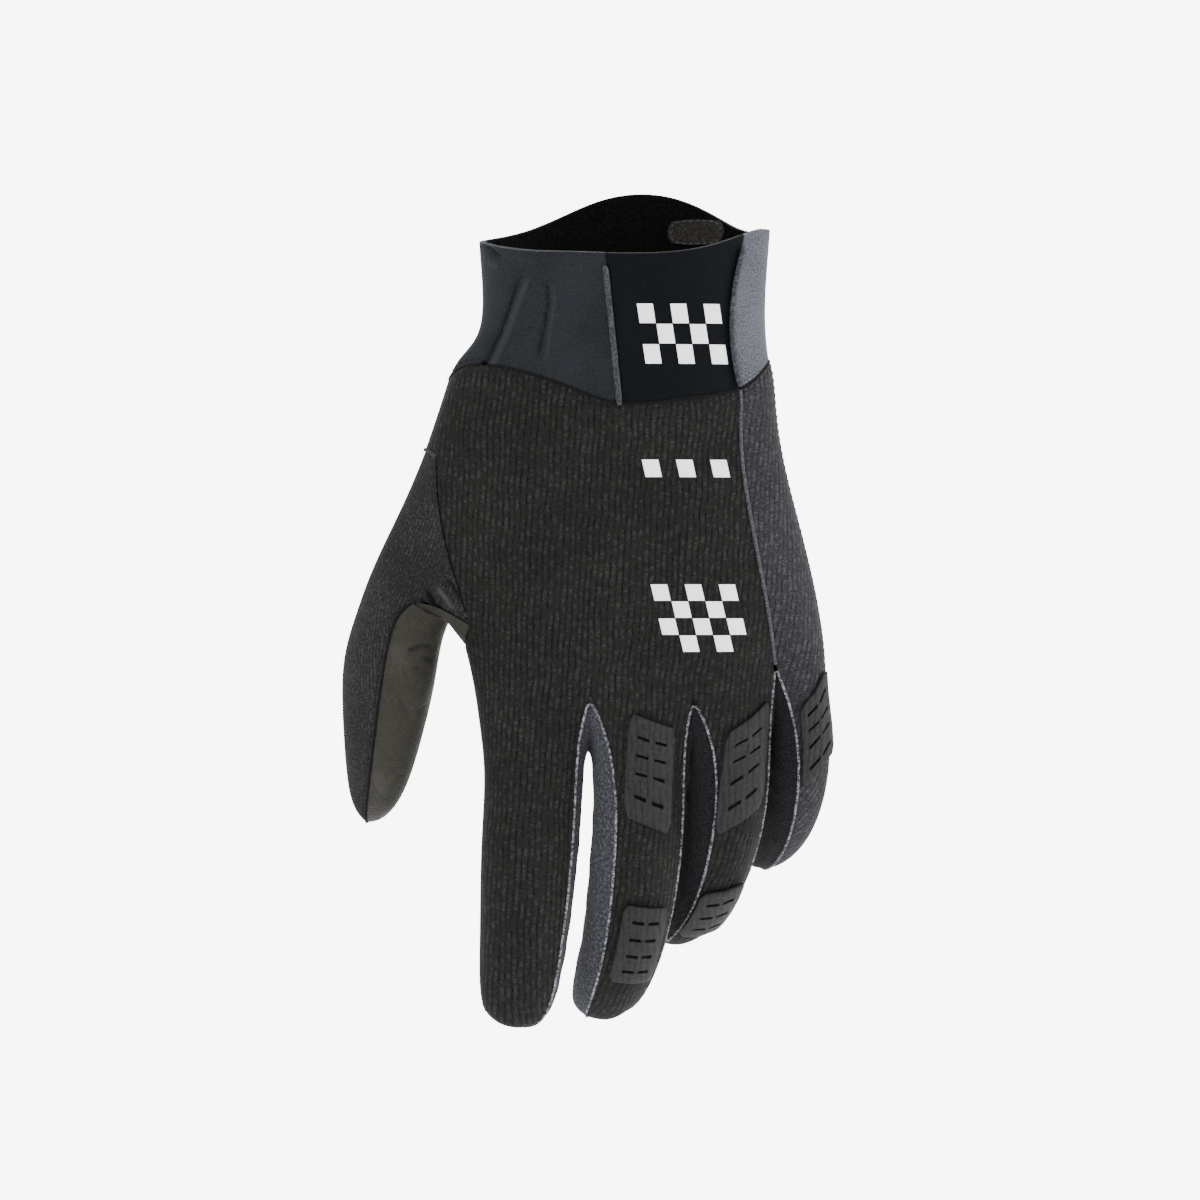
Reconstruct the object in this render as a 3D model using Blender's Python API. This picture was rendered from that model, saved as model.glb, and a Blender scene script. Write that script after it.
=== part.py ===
"""Left motocross glove, shaped as on a hand that hangs with its fingers down.

Metres. +Z points out of the wrist opening, -Y faces the back of the hand and -X the thumb.
The origin is the middle of the wrist opening.
"""

import math
from collections import namedtuple

import bmesh
import bpy
from mathutils import Matrix, Vector
from mathutils.bvhtree import BVHTree

MM = 0.001

# Cuff: outer width and depth at the rim, height to the tip of the seam, rise of the palm side's
# rim, and how far the thumb's side flares where it meets the hand
CUFF_WIDTH = 80.5 * MM
CUFF_DEPTH = 46 * MM
CUFF_HEIGHT = 44 * MM
CUFF_RISE = 12.5 * MM
CUFF_FLARE = 9.5 * MM

# Hand: breadth and depth at the knuckles, length from the origin to the finger forks
HAND_WIDTH = 101 * MM
HAND_DEPTH = 35 * MM
HAND_LENGTH = 128.5 * MM
KNUCKLE_ARCH = 11.5 * MM
VALLEY = 2.5 * MM
THUMB_WEB = 6 * MM

# Walls and the gap that neighbouring panels keep at a seam
KNIT_WALL = 1.4 * MM
LEATHER_WALL = 1.2 * MM
FLEECE_WALL = 1.1 * MM
CUFF_WALL = 2.0 * MM
SEAM_GAP = 0.4 * MM

# Moulded vent pads on the fingers, and the welts that stand on the cuff's seams
PAD_THICKNESS = 0.7 * MM
PAD_LIFT = 0.45 * MM
SLIT_LENGTH = 3.3 * MM
SLIT_WIDTH = 1.1 * MM
WELT_WIDTH = 2.2 * MM
WELT_HEIGHT = 1.1 * MM
WELT_LIFT = 0.35 * MM
GROOVE = 0.9 * MM
WELT_BOW = 0.07

# One column of the sleeve round the hand. across: share of the hand's half width, -1 at the thumb's
# side. top, bottom: the same for the cuff's rim and seam. side: -1 back, 0 edge, 1 palm.
# rim: share of CUFF_RISE. seam: share of CUFF_HEIGHT. knuckle: share of HAND_LENGTH.
# groove: share of GROOVE pressed into the cuff.
Column = namedtuple("Column", "name across top bottom side rim seam knuckle groove")
COLUMNS = [
    Column("edge_thumb", -1.00, -1.00, -1.00, 0, 0.07, 0.90, 1.065, 0.0),
    Column("back_0", -0.93, -0.93, -0.93, -1, 0.07, 0.70, 1.000, 0.6),
    Column("back_1", -0.66, -0.66, -0.70, -1, -0.02, 0.745, 1.020, 1.0),
    Column("back_2", -0.36, -0.38, -0.38, -1, 0.02, 0.83, 0.925, 0.0),
    Column("back_3", -0.09, -0.135, -0.025, -1, -0.01, 1.005, 1.000, 0.3),
    Column("back_4", 0.21, 0.20, 0.26, -1, -0.03, 0.95, 0.945, 0.0),
    Column("back_5", 0.44, 0.53, 0.56, -1, 0.04, 0.925, 0.990, 0.0),
    Column("back_6", 0.67, 0.84, 0.81, -1, 0.37, 0.905, 0.875, 0.5),
    Column("back_7", 0.81, 0.925, 0.92, -1, 0.43, 0.81, 0.935, 0.0),
    Column("back_8", 0.93, 0.975, 0.975, -1, 0.41, 0.75, 0.950, 0.0),
    Column("edge_outer", 1.00, 1.00, 1.00, 0, 0.34, 0.72, 1.004, 0.0),
    Column("palm_8", 0.93, 0.93, 0.93, 1, 0.20, 0.84, 1.050, 0.0),
    Column("palm_7", 0.80, 0.80, 0.80, 1, 0.19, 0.90, 1.082, 0.0),
    Column("palm_6", 0.67, 0.66, 0.66, 1, 0.48, 0.92, 1.097, 0.0),
    Column("palm_5", 0.44, 0.43, 0.43, 1, 0.86, 0.93, 1.136, 0.0),
    Column("palm_4", 0.21, 0.20, 0.20, 1, 1.03, 0.93, 1.136, 0.0),
    Column("palm_3", -0.09, -0.10, -0.10, 1, 0.97, 0.93, 1.152, 0.0),
    Column("palm_2", -0.36, -0.38, -0.38, 1, 0.55, 0.93, 1.132, 0.0),
    Column("palm_1", -0.66, -0.66, -0.66, 1, 0.12, 0.93, 1.136, 0.0),
    Column("palm_0", -0.93, -0.93, -0.93, 1, 0.05, 0.92, 1.105, 0.0),
]
AT = {column.name: index for index, column in enumerate(COLUMNS)}

# Rows of the cuff from rim to seam. down: share of the way. width, depth: shares of the cuff's.
# flare: share of CUFF_FLARE on the thumb's side.
CuffRow = namedtuple("CuffRow", "down width depth flare")
CUFF_ROWS = [
    CuffRow(0.00, 1.035, 1.03, 0.0),
    CuffRow(0.10, 1.030, 1.02, 0.0),
    CuffRow(0.45, 1.002, 0.98, 0.0),
    CuffRow(0.72, 1.000, 0.97, 0.15),
    CuffRow(0.88, 1.015, 0.97, 1.0),
    CuffRow(1.00, 1.025, 0.96, 1.05),
]

# Rows of the hand below the seam. down: share of HAND_LENGTH, or None for the row that stands
# proud just under the seam. left, right: shares of HAND_WIDTH. depth: share of HAND_DEPTH.
# arch: share of KNUCKLE_ARCH. spread: share of the columns' way from the cuff's spacing to the hand's.
HandRow = namedtuple("HandRow", "name down left right depth arch spread")
HAND_ROWS = [
    HandRow("ear", None, -0.510, 0.430, 1.34, 0.0, 0.0),
    HandRow("thumb_top", 0.425, -0.550, 0.432, 1.28, 0.2, 0.2),
    HandRow("thumb_middle", 0.620, -0.540, 0.505, 1.20, 0.5, 0.5),
    HandRow("thumb_fork", 0.825, -0.445, 0.572, 1.12, 0.8, 0.75),
    HandRow("knuckles", None, -0.415, 0.590, 1.00, 1.0, 1.0),
]
EAR_DROP = 3.5 * MM
SLEEVE_POWER = 2.3
WEB_DROP = 0.72

# Eight points round a digit, as angles from the middle of its back towards the little finger
FINGER_ANGLES = [-48, 6, 60, 96, 135, 180, 225, 270]
THUMB_ANGLES = [-60, -18, 22, 76, 130, 180, 225, 268]
DIGIT_POWER = 2.3

# Sections along a digit. along: share of its length. width, depth: shares of its own.
# bend: share of the way from the knuckle's curl to the tip's. pitch and slant turn the section.
Section = namedtuple("Section", "along width depth bend splay pitch slant")
FINGER_SECTIONS = [
    Section(0.145, 0.96, 1.00, 0.00, 0, 14, 0),
    Section(0.33, 1.00, 1.00, 0.10, 0, 5, 0),
    Section(0.51, 0.95, 0.97, 0.30, 0, 0, 0),
    Section(0.68, 0.88, 0.90, 0.55, 0, 0, 0),
    Section(0.83, 0.82, 0.81, 0.78, -1, 0, 0),
    Section(0.94, 0.65, 0.62, 0.94, -2, 0, 0),
    Section(1.00, 0.0, 0.0, 1.00, -2, 0, 0),
]
THUMB_SECTIONS = [
    Section(0.17, 0.99, 1.08, 0.00, -14, 0, -10),
    Section(0.31, 0.91, 1.02, 0.40, -2, 0, -2),
    Section(0.44, 1.12, 1.00, 0.68, -4, 0, 0),
    Section(0.59, 0.92, 0.92, 0.85, 0, 0, 0),
    Section(0.74, 0.73, 0.80, 0.95, -3, 0, 0),
    Section(0.87, 0.48, 0.58, 1.00, -9, 0, 0),
    Section(1.00, 0.0, 0.0, 1.00, -14, 0, 0),
]

# yaw turns a digit's back from the camera's side towards the little finger. splay leans it the
# same way. knuckle_curl and tip_curl bend it towards the palm. Angles are in degrees.
Digit = namedtuple(
    "Digit", "name length width depth yaw roll splay knuckle_curl tip_curl sections angles"
)
DIGITS = [
    Digit("index", 97 * MM, 28.3 * MM, 24.5 * MM, 4, 0, -3.0, 2, 26, FINGER_SECTIONS, FINGER_ANGLES),
    Digit("middle", 107.5 * MM, 27.0 * MM, 24.0 * MM, 20, 0, 1.6, 6, 51, FINGER_SECTIONS, FINGER_ANGLES),
    Digit("ring", 96 * MM, 23.4 * MM, 22.5 * MM, 27, 4, 3.4, 12, 68, FINGER_SECTIONS, FINGER_ANGLES),
    Digit("little", 75.5 * MM, 19.2 * MM, 19.5 * MM, 32, 12, 11.5, 16, 70, FINGER_SECTIONS, FINGER_ANGLES),
    Digit("thumb", 101 * MM, 30.0 * MM, 22.5 * MM, -45, 0, -13, -24, 9, THUMB_SECTIONS, THUMB_ANGLES),
]

# The panels: colour, roughness and wall of each
Panel = namedtuple("Panel", "name colour roughness wall")
PANELS = [
    Panel("backhand", (0.040, 0.038, 0.036), 0.85, KNIT_WALL),
    Panel("outer_side", (0.055, 0.053, 0.055), 0.85, KNIT_WALL),
    Panel("thumb_back", (0.045, 0.044, 0.046), 0.85, KNIT_WALL),
    Panel("palm", (0.045, 0.043, 0.034), 0.60, LEATHER_WALL),
    Panel("thumb_front", (0.045, 0.043, 0.034), 0.60, LEATHER_WALL),
    Panel("fork_index_middle", (0.10, 0.105, 0.125), 0.9, FLEECE_WALL),
    Panel("fork_middle_ring", (0.10, 0.105, 0.125), 0.9, FLEECE_WALL),
    Panel("fork_ring_little", (0.10, 0.105, 0.125), 0.9, FLEECE_WALL),
    Panel("cuff_thumb_side", (0.045, 0.052, 0.065), 0.7, CUFF_WALL),
    Panel("cuff_back", (0.012, 0.015, 0.020), 0.6, CUFF_WALL),
    Panel("cuff_outer_side", (0.075, 0.080, 0.090), 0.7, CUFF_WALL),
    Panel("cuff_front", (0.012, 0.012, 0.012), 0.7, CUFF_WALL),
]
PANEL_INDEX = {panel.name: index for index, panel in enumerate(PANELS)}

# A digit's panels: its eight columns, from back left round to the left side, and its four tips
DIGIT_PANELS = {
    "index": ["backhand"] * 2 + ["fork_index_middle"] * 2 + ["palm"] * 3 + ["backhand"],
    "middle": ["backhand"] * 2 + ["fork_middle_ring"] * 2 + ["palm"] * 2 + ["fork_index_middle"] * 2,
    "ring": ["backhand"] * 2 + ["fork_ring_little"] * 2 + ["palm"] * 2 + ["fork_middle_ring"] * 2,
    "little": ["outer_side"] * 3 + ["palm"] * 3 + ["fork_ring_little"] * 2,
    "thumb": ["thumb_back"] * 2 + ["thumb_front"] * 4 + ["thumb_back"] * 2,
}
TIP_PANELS = {
    "index": ["backhand", "fork_index_middle", "palm", "backhand"],
    "middle": ["backhand", "fork_middle_ring", "palm", "fork_index_middle"],
    "ring": ["backhand", "fork_ring_little", "palm", "fork_middle_ring"],
    "little": ["outer_side", "palm", "palm", "fork_ring_little"],
    "thumb": ["thumb_back", "thumb_front", "thumb_front", "thumb_back"],
}

# The base of each finger: the sleeve's columns at its back left, middle and right corners
FINGER_COLUMNS = {"index": (0, 1, 2), "middle": (2, 3, 4), "ring": (4, 5, 6), "little": (6, 7, 8)}

# Vent pads: which finger, the share along it, the size, and the spacing and lean of the slits
Pad = namedtuple("Pad", "name digit along turn length width across lean rows pitch")
PADS = [
    Pad("knuckle_pad_middle", "middle", -0.05, -7, 33 * MM, 13 * MM, 4.9 * MM, 24, 4, 6.8 * MM),
    Pad("knuckle_pad_ring", "ring", -0.04, -10, 33 * MM, 13 * MM, 4.6 * MM, -30, 4, 6.8 * MM),
    Pad("knuckle_pad_little", "little", -0.07, -6, 26 * MM, 10.5 * MM, 4.0 * MM, -36, 4, 5.9 * MM),
    Pad("finger_pad_middle", "middle", 0.47, 4, 26 * MM, 13 * MM, 4.4 * MM, 10, 4, 5.6 * MM),
    Pad("finger_pad_ring", "ring", 0.53, -8, 21 * MM, 12 * MM, 4.2 * MM, -12, 3, 5.8 * MM),
]


def clear_scene():
    for obj in list(bpy.data.objects):
        bpy.data.objects.remove(obj, do_unlink=True)


def material(name, colour, roughness):
    made = bpy.data.materials.new(name)
    made.use_nodes = True
    shader = made.node_tree.nodes["Principled BSDF"]
    shader.inputs["Base Color"].default_value = (*colour, 1.0)
    shader.inputs["Roughness"].default_value = roughness
    shader.inputs["Metallic"].default_value = 0.0
    return made


def power(value, exponent):
    return math.copysign(abs(value) ** exponent, value)


def bulge(across):
    """The share of the half depth that a superellipse section keeps at a share of its width."""
    return (1 - abs(across) ** SLEEVE_POWER) ** (1 / SLEEVE_POWER)


def cuff_point(column, row):
    across = column.top + (column.bottom - column.top) * row.down
    across -= WELT_BOW * (column.name == "back_6") * math.sin(math.pi * row.down)
    groove = column.groove * GROOVE * math.sin(math.pi * row.down)
    flare = row.flare * CUFF_FLARE * max(0, -across) ** 6
    x = across * (CUFF_WIDTH * row.width / 2 - groove) - flare
    y = column.side * bulge(across) * (CUFF_DEPTH * row.depth / 2 - groove)
    rim = column.rim * CUFF_RISE
    seam = -column.seam * CUFF_HEIGHT
    return Vector((x, y, rim + (seam - rim) * row.down))


def hand_point(column, row):
    across = column.bottom + (column.across - column.bottom) * row.spread
    half_width = HAND_WIDTH * (row.right - row.left) / 2
    x = HAND_WIDTH * (row.left + row.right) / 2 + across * half_width
    y = column.side * bulge(across) * HAND_DEPTH * row.depth / 2
    y += KNUCKLE_ARCH * row.arch * max(0, across) ** 1.4
    if row.name == "ear":
        return Vector((x, y, -column.seam * CUFF_HEIGHT - EAR_DROP))
    if row.name == "knuckles":
        in_valley = column.name in ("back_2", "back_4", "back_6")
        return Vector((x, y + VALLEY * in_valley, -column.knuckle * HAND_LENGTH))
    z = -row.down * HAND_LENGTH
    if row.name == "thumb_fork" and column.name in ("edge_thumb", "back_0", "palm_0"):
        z -= THUMB_WEB if column.name == "edge_thumb" else THUMB_WEB / 4
    return Vector((x, y, z))


def digit_frames(digit, start):
    """Centre, width axis, back's direction and section for each station along a digit."""
    turn = Matrix.Rotation(math.radians(digit.yaw), 3, "Z")
    across, inwards = turn @ Vector((1, 0, 0)), turn @ Vector((0, 1, 0))
    steps = []
    for section in digit.sections:
        curl = digit.knuckle_curl + (digit.tip_curl - digit.knuckle_curl) * section.bend
        curl, splay = math.radians(curl), math.radians(digit.splay + section.splay)
        bent = inwards * math.sin(curl) - Vector((0, 0, 1)) * math.cos(curl)
        steps.append(across * math.sin(splay) + bent * math.cos(splay))
    frames = []
    centre, reached = start.copy(), 0.0
    for index, section in enumerate(digit.sections):
        centre = centre + steps[index] * (section.along - reached) * digit.length
        reached = section.along
        heading = (steps[index] + steps[min(index + 1, len(steps) - 1)]).normalized()
        back = (-inwards - heading * heading.dot(-inwards)).normalized()
        back = Matrix.Rotation(math.radians(digit.roll), 3, -heading) @ back
        width = back.cross(heading)
        width = Matrix.Rotation(math.radians(section.slant), 3, back) @ width
        back = Matrix.Rotation(math.radians(-section.pitch), 3, width) @ back
        frames.append((centre.copy(), width, back, section))
    return frames


def digit_ring(digit, frame):
    """The eight points of a section, swelled by what the smoothing later takes off."""
    centre, width, back, section = frame
    swell = 4 / (3 + math.cos(2 * math.pi / len(digit.angles)))
    points = []
    for degrees in digit.angles:
        angle = math.radians(degrees)
        x = power(math.sin(angle), 2 / DIGIT_POWER) * digit.width * section.width / 2 * swell
        y = power(math.cos(angle), 2 / DIGIT_POWER) * digit.depth * section.depth / 2 * swell
        points.append(centre + width * x + back * y)
    return points


class Cage:
    """The coarse cage of the whole glove's outer surface."""

    def __init__(self):
        self.bm = bmesh.new()
        self.frames = {}

    def point(self, place):
        return self.bm.verts.new(place)

    def face(self, corners, panel):
        made = self.bm.faces.new(corners)
        made.material_index = PANEL_INDEX[panel]
        made.smooth = True

    def bridge(self, upper, lower, panels, skip=()):
        count = len(upper)
        for index in range(count):
            if index in skip:
                continue
            after = (index + 1) % count
            self.face([upper[after], upper[index], lower[index], lower[after]], panels[index])

    def digit(self, digit, base):
        start = sum((vertex.co for vertex in base), Vector()) / len(base)
        frames = digit_frames(digit, start)
        self.frames[digit.name] = frames
        ring = base
        for frame in frames[:-1]:
            lower = [self.point(place) for place in digit_ring(digit, frame)]
            self.bridge(ring, lower, DIGIT_PANELS[digit.name])
            ring = lower
        tip = self.point(frames[-1][0])
        for index, panel in enumerate(TIP_PANELS[digit.name]):
            first = 2 * index
            corners = [ring[(first + 2) % 8], ring[first + 1], ring[first], tip]
            self.face(corners, panel)


def cuff_panels():
    """The cuff's panel for each column of the sleeve."""
    named = []
    for index in range(len(COLUMNS)):
        if index < AT["back_3"] or index == AT["palm_0"]:
            named.append("cuff_thumb_side")
        elif index < AT["back_6"]:
            named.append("cuff_back")
        elif index < AT["palm_8"]:
            named.append("cuff_outer_side")
        else:
            named.append("cuff_front")
    return named


def hand_panels():
    """The hand's panel for each column of the sleeve."""
    named = []
    for index in range(len(COLUMNS)):
        if index < AT["back_6"]:
            named.append("backhand")
        elif index < AT["edge_outer"]:
            named.append("outer_side")
        else:
            named.append("palm")
    return named


def build_cage():
    cage = Cage()
    rows = [[cage.point(cuff_point(column, row)) for column in COLUMNS] for row in CUFF_ROWS]
    for upper, lower in zip(rows, rows[1:]):
        cage.bridge(upper, lower, cuff_panels())

    # The thumb leaves the sleeve where the two columns beside its edge are left open
    open_columns = (AT["edge_thumb"], AT["palm_0"])
    above = rows[-1]
    hand = {}
    for row in HAND_ROWS:
        lower = []
        for column in COLUMNS:
            inside_hole = row.name == "thumb_middle" and column.name == "edge_thumb"
            lower.append(None if inside_hole else cage.point(hand_point(column, row)))
        skip = open_columns if row.name in ("thumb_middle", "thumb_fork") else ()
        cage.bridge(above, lower, hand_panels(), skip)
        hand[row.name] = above = lower

    knuckles = hand["knuckles"]
    webs = {}
    for fork in (2, 4, 6):
        back = knuckles[AT[f"back_{fork}"]].co
        palm = knuckles[AT[f"palm_{fork}"]].co
        place = (back + palm) / 2
        place.z = back.z + (palm.z - back.z) * WEB_DROP
        webs[fork] = cage.point(place)
    webs[0] = knuckles[AT["edge_thumb"]]
    webs[8] = knuckles[AT["edge_outer"]]

    for digit in DIGITS:
        if digit.name == "thumb":
            continue
        left, middle, right = FINGER_COLUMNS[digit.name]
        backs = [knuckles[AT[f"back_{column}"]] for column in (left, middle, right)]
        palms = [knuckles[AT[f"palm_{column}"]] for column in (right, middle, left)]
        cage.digit(digit, [*backs, webs[right], *palms, webs[left]])

    back = [hand[name][AT["back_0"]] for name in ("thumb_top", "thumb_middle", "thumb_fork")]
    palm = [hand[name][AT["palm_0"]] for name in ("thumb_fork", "thumb_middle", "thumb_top")]
    inner = hand["thumb_fork"][AT["edge_thumb"]]
    outer = hand["thumb_top"][AT["edge_thumb"]]
    thumb = next(digit for digit in DIGITS if digit.name == "thumb")
    cage.digit(thumb, [*back, inner, *palm, outer])
    return cage


def smoothed(cage, levels):
    """The cage after Catmull-Clark smoothing, as a bmesh."""
    mesh = bpy.data.meshes.new("skin")
    cage.bm.to_mesh(mesh)
    skin = bpy.data.objects.new("skin", mesh)
    bpy.context.scene.collection.objects.link(skin)
    modifier = skin.modifiers.new("Smooth", "SUBSURF")
    modifier.levels = modifier.render_levels = levels
    bpy.context.view_layer.update()
    evaluated = skin.evaluated_get(bpy.context.evaluated_depsgraph_get())
    made = bmesh.new()
    made.from_mesh(evaluated.to_mesh())
    evaluated.to_mesh_clear()
    bpy.data.objects.remove(skin, do_unlink=True)
    made.normal_update()
    return made


def add_object(name, bm, colour, roughness):
    bm.normal_update()
    mesh = bpy.data.meshes.new(name)
    bm.to_mesh(mesh)
    bm.free()
    mesh.shade_smooth()
    mesh.set_sharp_from_angle(angle=math.radians(50))
    mesh.materials.clear()
    mesh.materials.append(material(name, colour, roughness))
    made = bpy.data.objects.new(name, mesh)
    bpy.context.scene.collection.objects.link(made)
    return made


def seam_pull(vertex, panel_index):
    """How far a vertex on a seam draws back into its own panel, so that neighbours keep a gap."""
    pull, count = Vector(), 0
    for edge in vertex.link_edges:
        own = [face for face in edge.link_faces if face.material_index == panel_index]
        if len(edge.link_faces) == 2 and len(own) == 1:
            along = (edge.verts[1].co - edge.verts[0].co).normalized()
            inward = own[0].normal.cross(along)
            if inward.dot(own[0].calc_center_median() - vertex.co) < 0:
                inward.negate()
            pull += inward
            count += 1
    if pull.length < 0.3:
        return Vector()
    mitred = pull * count / pull.length_squared
    return mitred * SEAM_GAP / 2


def panel_solid(skin, panel):
    """One panel of the skin, given its wall inwards and drawn back from its seams."""
    index = PANEL_INDEX[panel.name]
    solid = bmesh.new()
    outer, inner = {}, {}
    faces = [face for face in skin.faces if face.material_index == index]
    for vertex in {vertex for face in faces for vertex in face.verts}:
        place = vertex.co + seam_pull(vertex, index)
        outer[vertex] = solid.verts.new(place)
        inner[vertex] = solid.verts.new(place - vertex.normal * panel.wall)
    for face in faces:
        solid.faces.new([outer[vertex] for vertex in face.verts])
        solid.faces.new([inner[vertex] for vertex in reversed(face.verts)])
        for loop in face.loops:
            own = [f for f in loop.edge.link_faces if f.material_index == index]
            if len(own) == 1:
                a, b = loop.vert, loop.link_loop_next.vert
                solid.faces.new([outer[b], outer[a], inner[a], inner[b]])
    return add_object(panel.name, solid, panel.colour, panel.roughness)


def frame_along(frames, start, share):
    """Centre, width axis and back's direction of a digit at a share of its length."""
    back = frames[1][2]
    first = (frames[1][0] - frames[0][0]) / (frames[1][3].along - frames[0][3].along)
    stations = [(-1.0, start - first, frames[1][1], back), (0.0, start, frames[1][1], back)]
    stations += [(section.along, centre, width, back) for centre, width, back, section in frames]
    for (a, *first), (b, *second) in zip(stations, stations[1:]):
        if share <= b:
            blend = (share - a) / (b - a)
            return [one.lerp(other, blend) for one, other in zip(first, second)]
    return stations[-1][1:]


def pad_outline(pad):
    """A flat plate of cells with a slanted slit in each, as a bmesh in the plate's own plane."""
    flat = bmesh.new()
    lean = math.tan(math.radians(pad.lean))
    columns, rows = 2, pad.rows
    cell = pad.across
    edges_x = [-pad.width / 2, -cell, 0.0, cell, pad.width / 2]
    top = rows * pad.pitch / 2
    edges_y = [pad.length / 2, *(top - pad.pitch * row for row in range(rows + 1)), -pad.length / 2]

    def corner(i, j):
        at_corner = j in (0, len(edges_y) - 1) and i in (0, len(edges_x) - 1)
        x = edges_x[i] * (0.85 if at_corner else 1.0)
        return Vector((x, edges_y[j] - lean * x, 0))

    grid = [[flat.verts.new(corner(i, j)) for i in range(len(edges_x))] for j in range(len(edges_y))]
    for j in range(len(edges_y) - 1):
        for i in range(len(edges_x) - 1):
            ring = [grid[j][i], grid[j + 1][i], grid[j + 1][i + 1], grid[j][i + 1]]
            if 0 < j <= rows and 0 < i <= columns:
                middle = sum((vertex.co for vertex in ring), Vector()) / 4
                half = Vector((SLIT_LENGTH / 2, -SLIT_LENGTH / 2 * lean, 0))
                up = Vector((0, SLIT_WIDTH / 2, 0))
                hole = [middle - half + up, middle - half - up, middle + half - up, middle + half + up]
                hole = [flat.verts.new(place) for place in hole]
                for k in range(4):
                    n = (k + 1) % 4
                    flat.faces.new([ring[k], ring[n], hole[n], hole[k]])
            else:
                flat.faces.new(ring)
    return flat


def vent_pad(pad, cage, tree):
    """The plate wrapped on the back of its finger, a little proud of the knit."""
    digit = next(one for one in DIGITS if one.name == pad.digit)
    frames = cage.frames[pad.digit]
    start = frames[0][0] - (frames[1][0] - frames[0][0]).normalized() * frames[0][3].along * digit.length
    plate = pad_outline(pad)
    under, over = {}, {}
    solid = bmesh.new()
    for vertex in plate.verts:
        share = pad.along + (pad.length / 2 - vertex.co.y) / digit.length
        centre, width, back = frame_along(frames, start, share)
        turn = Matrix.Rotation(math.radians(pad.turn), 3, back.cross(width))
        width, back = turn @ width, turn @ back
        above = centre + width * vertex.co.x + back * digit.depth * 2
        hit, normal, _, _ = tree.ray_cast(above, -back)
        under[vertex] = solid.verts.new(hit + normal * PAD_LIFT)
        over[vertex] = solid.verts.new(hit + normal * (PAD_LIFT + PAD_THICKNESS))
    for face in plate.faces:
        solid.faces.new([over[vertex] for vertex in face.verts])
        solid.faces.new([under[vertex] for vertex in reversed(face.verts)])
        for loop in face.loops:
            if len(loop.edge.link_faces) == 1:
                a, b = loop.vert, loop.link_loop_next.vert
                solid.faces.new([over[b], over[a], under[a], under[b]])
    plate.free()
    return add_object(pad.name, solid, (0.045, 0.047, 0.047), 0.45)


def cuff_welt(name, column_name, tree):
    """A half-round welt along a seam of the cuff, from just under the rim to the lower seam."""
    column = COLUMNS[AT[column_name]]
    solid = bmesh.new()
    steps, arc = 10, 5
    rings = []
    for step in range(steps + 1):
        down = 0.07 + 0.9 * step / steps
        places = []
        for side in (-1, 1):
            near = cuff_point(column, CuffRow(down + 0.02 * side, 1.0, 1.0, 0.0))
            places.append(tree.find_nearest(near)[0])
        place, normal, _, _ = tree.find_nearest((places[0] + places[1]) / 2)
        along = (places[1] - places[0]).normalized()
        across = normal.cross(along).normalized()
        ring = []
        for index in range(arc):
            angle = math.pi * index / (arc - 1)
            reach = across * math.cos(angle) * WELT_WIDTH / 2
            ring.append(place + reach + normal * (WELT_LIFT + WELT_HEIGHT * math.sin(angle)))
        rings.append([solid.verts.new(spot) for spot in ring])
    for upper, lower in zip(rings, rings[1:]):
        for index in range(arc):
            after = (index + 1) % arc
            solid.faces.new([upper[index], upper[after], lower[after], lower[index]])
    solid.faces.new(rings[0])
    solid.faces.new(list(reversed(rings[-1])))
    bmesh.ops.recalc_face_normals(solid, faces=solid.faces)
    return add_object(name, solid, (0.05, 0.055, 0.065), 0.6)


def main():
    clear_scene()
    cage = build_cage()
    bmesh.ops.recalc_face_normals(cage.bm, faces=cage.bm.faces)
    skin = smoothed(cage, 1)
    for panel in PANELS:
        panel_solid(skin, panel)
    fine = smoothed(cage, 3)
    tree = BVHTree.FromBMesh(fine)
    for pad in PADS:
        vent_pad(pad, cage, tree)
    cuff_welt("cuff_welt_thumb_side", "back_3", tree)
    cuff_welt("cuff_welt_outer_side", "back_6", tree)
    skin.free()
    fine.free()
    cage.bm.free()


main()
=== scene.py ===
import math

import bmesh
import bpy
import numpy as np
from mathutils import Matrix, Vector, noise
from mathutils.bvhtree import BVHTree
from mathutils.kdtree import KDTree


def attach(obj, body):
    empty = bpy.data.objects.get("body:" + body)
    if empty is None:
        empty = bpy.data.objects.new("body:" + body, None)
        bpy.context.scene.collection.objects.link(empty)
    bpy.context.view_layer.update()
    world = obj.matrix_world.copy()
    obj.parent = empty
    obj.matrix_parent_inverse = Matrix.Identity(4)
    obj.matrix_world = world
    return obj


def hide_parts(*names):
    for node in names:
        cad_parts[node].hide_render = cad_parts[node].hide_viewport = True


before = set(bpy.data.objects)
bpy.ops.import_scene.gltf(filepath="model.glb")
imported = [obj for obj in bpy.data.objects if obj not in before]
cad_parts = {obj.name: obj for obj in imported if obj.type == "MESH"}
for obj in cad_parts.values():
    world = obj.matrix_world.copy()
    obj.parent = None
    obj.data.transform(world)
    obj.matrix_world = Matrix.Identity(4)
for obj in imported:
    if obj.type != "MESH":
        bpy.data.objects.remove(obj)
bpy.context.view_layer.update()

MM = 0.001

# Studio
# The glove is shown filled, fingers down, in front of a white paper sweep. A long lens looks at
# the back of the hand from a little above, under large soft boxes.
CAMERA_TILT = math.radians(8)
CAMERA_DISTANCE = 2.0
PICTURE_WIDTH = 336 * MM
PICTURE_MIDDLE = 600  # in pixels of the picture
PIXEL = 0.28  # in millimetres on the glove
VIEW = Vector((0, math.cos(CAMERA_TILT), -math.sin(CAMERA_TILT)))
VIEW_UP = Vector((0, math.sin(CAMERA_TILT), math.cos(CAMERA_TILT)))
PICTURE_CENTRE = Vector((-6.58 * MM, 0, 0)) + VIEW_UP * (-99.4 * MM)
FLOOR_END = 1.2
FLOOR_HEIGHT = -0.30
CURVE_RADIUS = 0.8

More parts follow.
